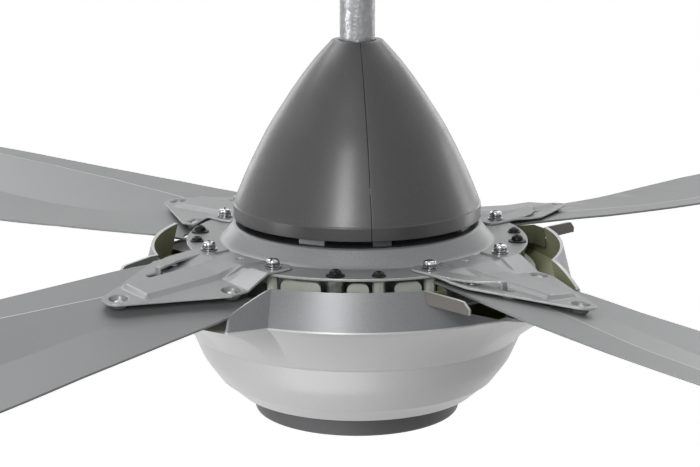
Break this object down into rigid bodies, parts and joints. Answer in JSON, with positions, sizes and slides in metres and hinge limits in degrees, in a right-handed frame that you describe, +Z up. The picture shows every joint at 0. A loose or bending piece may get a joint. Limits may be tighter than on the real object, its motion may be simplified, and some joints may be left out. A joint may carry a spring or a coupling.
{
  "type": "ceiling fan",
  "caption": "Ceiling fan hung on a rod: conical upper cover, turning flange with cross-mounted creased metal blades, and a stepped bowl-shaped lower cover.",
  "frame": {"origin": "middle of the ceiling bracket's flat top face, where the fan meets the ceiling", "axes": "+Z up, along the fan's own axis; -Y towards the picture's camera, +X to its right; the blades lie about 45 degrees off X and Y"},
  "size_m": [1.0912, 1.0912, 0.5854],
  "materials": {
    "galvanised_steel": "dull zinc",
    "bright_steel": "bright zinc",
    "screw_steel": "bright zinc plating",
    "black_steel": "black oxide with a soft sheen",
    "rod_paint": "silver-grey paint, lightly textured",
    "cover_paint": "dark grey metallic paint, satin",
    "flange_paint": "grey metallic paint, satin",
    "arm_paint": "grey metallic paint, satin",
    "blade_paint": "grey metallic paint, satin",
    "shell_paint": "pale grey paint outside, green-grey primer inside",
    "cap_paint": "dark grey, satin",
    "carrier_paint": "green-grey primer",
    "cast_metal": "cast and machined",
    "rubber": "black, matte",
    "copper_winding": "varnished copper wire",
    "core_steel": "stacked laminations",
    "magnet_grey": "sintered, matte",
    "dark_plastic": "moulded, fine grain"
  },
  "bodies": {
    "ceiling_mount": {"ceiling_bracket": "galvanised_steel", "hanger_bolt": "bright_steel", "hanger_nut": "bright_steel"},
    "drop_assembly": {"hanger_bush": "rubber", "downrod": "rod_paint", "rod_coupler": "cast_metal", "coupler_bolt": "bright_steel", "coupler_nut": "bright_steel", "upper_cover_left": "cover_paint", "upper_cover_right": "cover_paint", "controller_tray": "cast_metal", "controller_box": "dark_plastic", "motor_shaft": "bright_steel", "shaft_retainer": "black_steel", "stator_core": "core_steel", "stator_winding": "copper_winding"},
    "canopy": {"canopy": "rod_paint", "canopy_collar": "rod_paint", "canopy_grub_screw": "black_steel"},
    "rotor": {"bearing_upper": "bright_steel", "bearing_lower": "bright_steel", "motor_case_upper": "cast_metal", "motor_case_lower": "cast_metal", "magnet_ring": "magnet_grey", "rotor_flange": "flange_paint", "carrier_ring": "carrier_paint", "lower_cover": "shell_paint", "bottom_cap": "cap_paint", "flange_bush_1": "rubber", "flange_bush_2": "rubber", "flange_bush_3": "rubber", "flange_bush_4": "rubber", "arm_screw_1a": "screw_steel", "arm_screw_1b": "screw_steel", "arm_screw_2a": "screw_steel", "arm_screw_2b": "screw_steel", "arm_screw_3a": "screw_steel", "arm_screw_3b": "screw_steel", "arm_screw_4a": "screw_steel", "arm_screw_4b": "screw_steel", "flange_screw_wide_1": "black_steel", "flange_screw_wide_2": "black_steel", "flange_screw_wide_3": "black_steel", "flange_screw_wide_4": "black_steel", "flange_screw_slim_1": "black_steel", "flange_screw_slim_2": "black_steel", "flange_screw_slim_3": "black_steel", "flange_screw_slim_4": "black_steel", "blade_arm_1": "arm_paint", "blade_arm_2": "arm_paint", "blade_arm_3": "arm_paint", "blade_arm_4": "arm_paint", "blade_1": "blade_paint", "blade_2": "blade_paint", "blade_3": "blade_paint", "blade_4": "blade_paint", "cover_screw_1": "bright_steel", "cover_screw_2": "bright_steel", "cover_screw_3": "bright_steel", "cover_screw_4": "bright_steel"}
  },
  "joints": [
    {"name": "hanger_swing", "type": "hinge", "parent": "ceiling_mount", "child": "drop_assembly", "pos_m": [0, 0, -0.034], "axis": [0, 1, 0], "range_deg": [-5, 5]},
    {"name": "canopy_slide", "type": "slide", "parent": "drop_assembly", "child": "canopy", "axis": [0, 0, -1], "range_m": [0, 0.15]},
    {"name": "rotor_spin", "type": "hinge", "parent": "drop_assembly", "child": "rotor", "pos_m": [0, 0, -0.428], "axis": [0, 0, 1], "continuous": true}
  ]
}
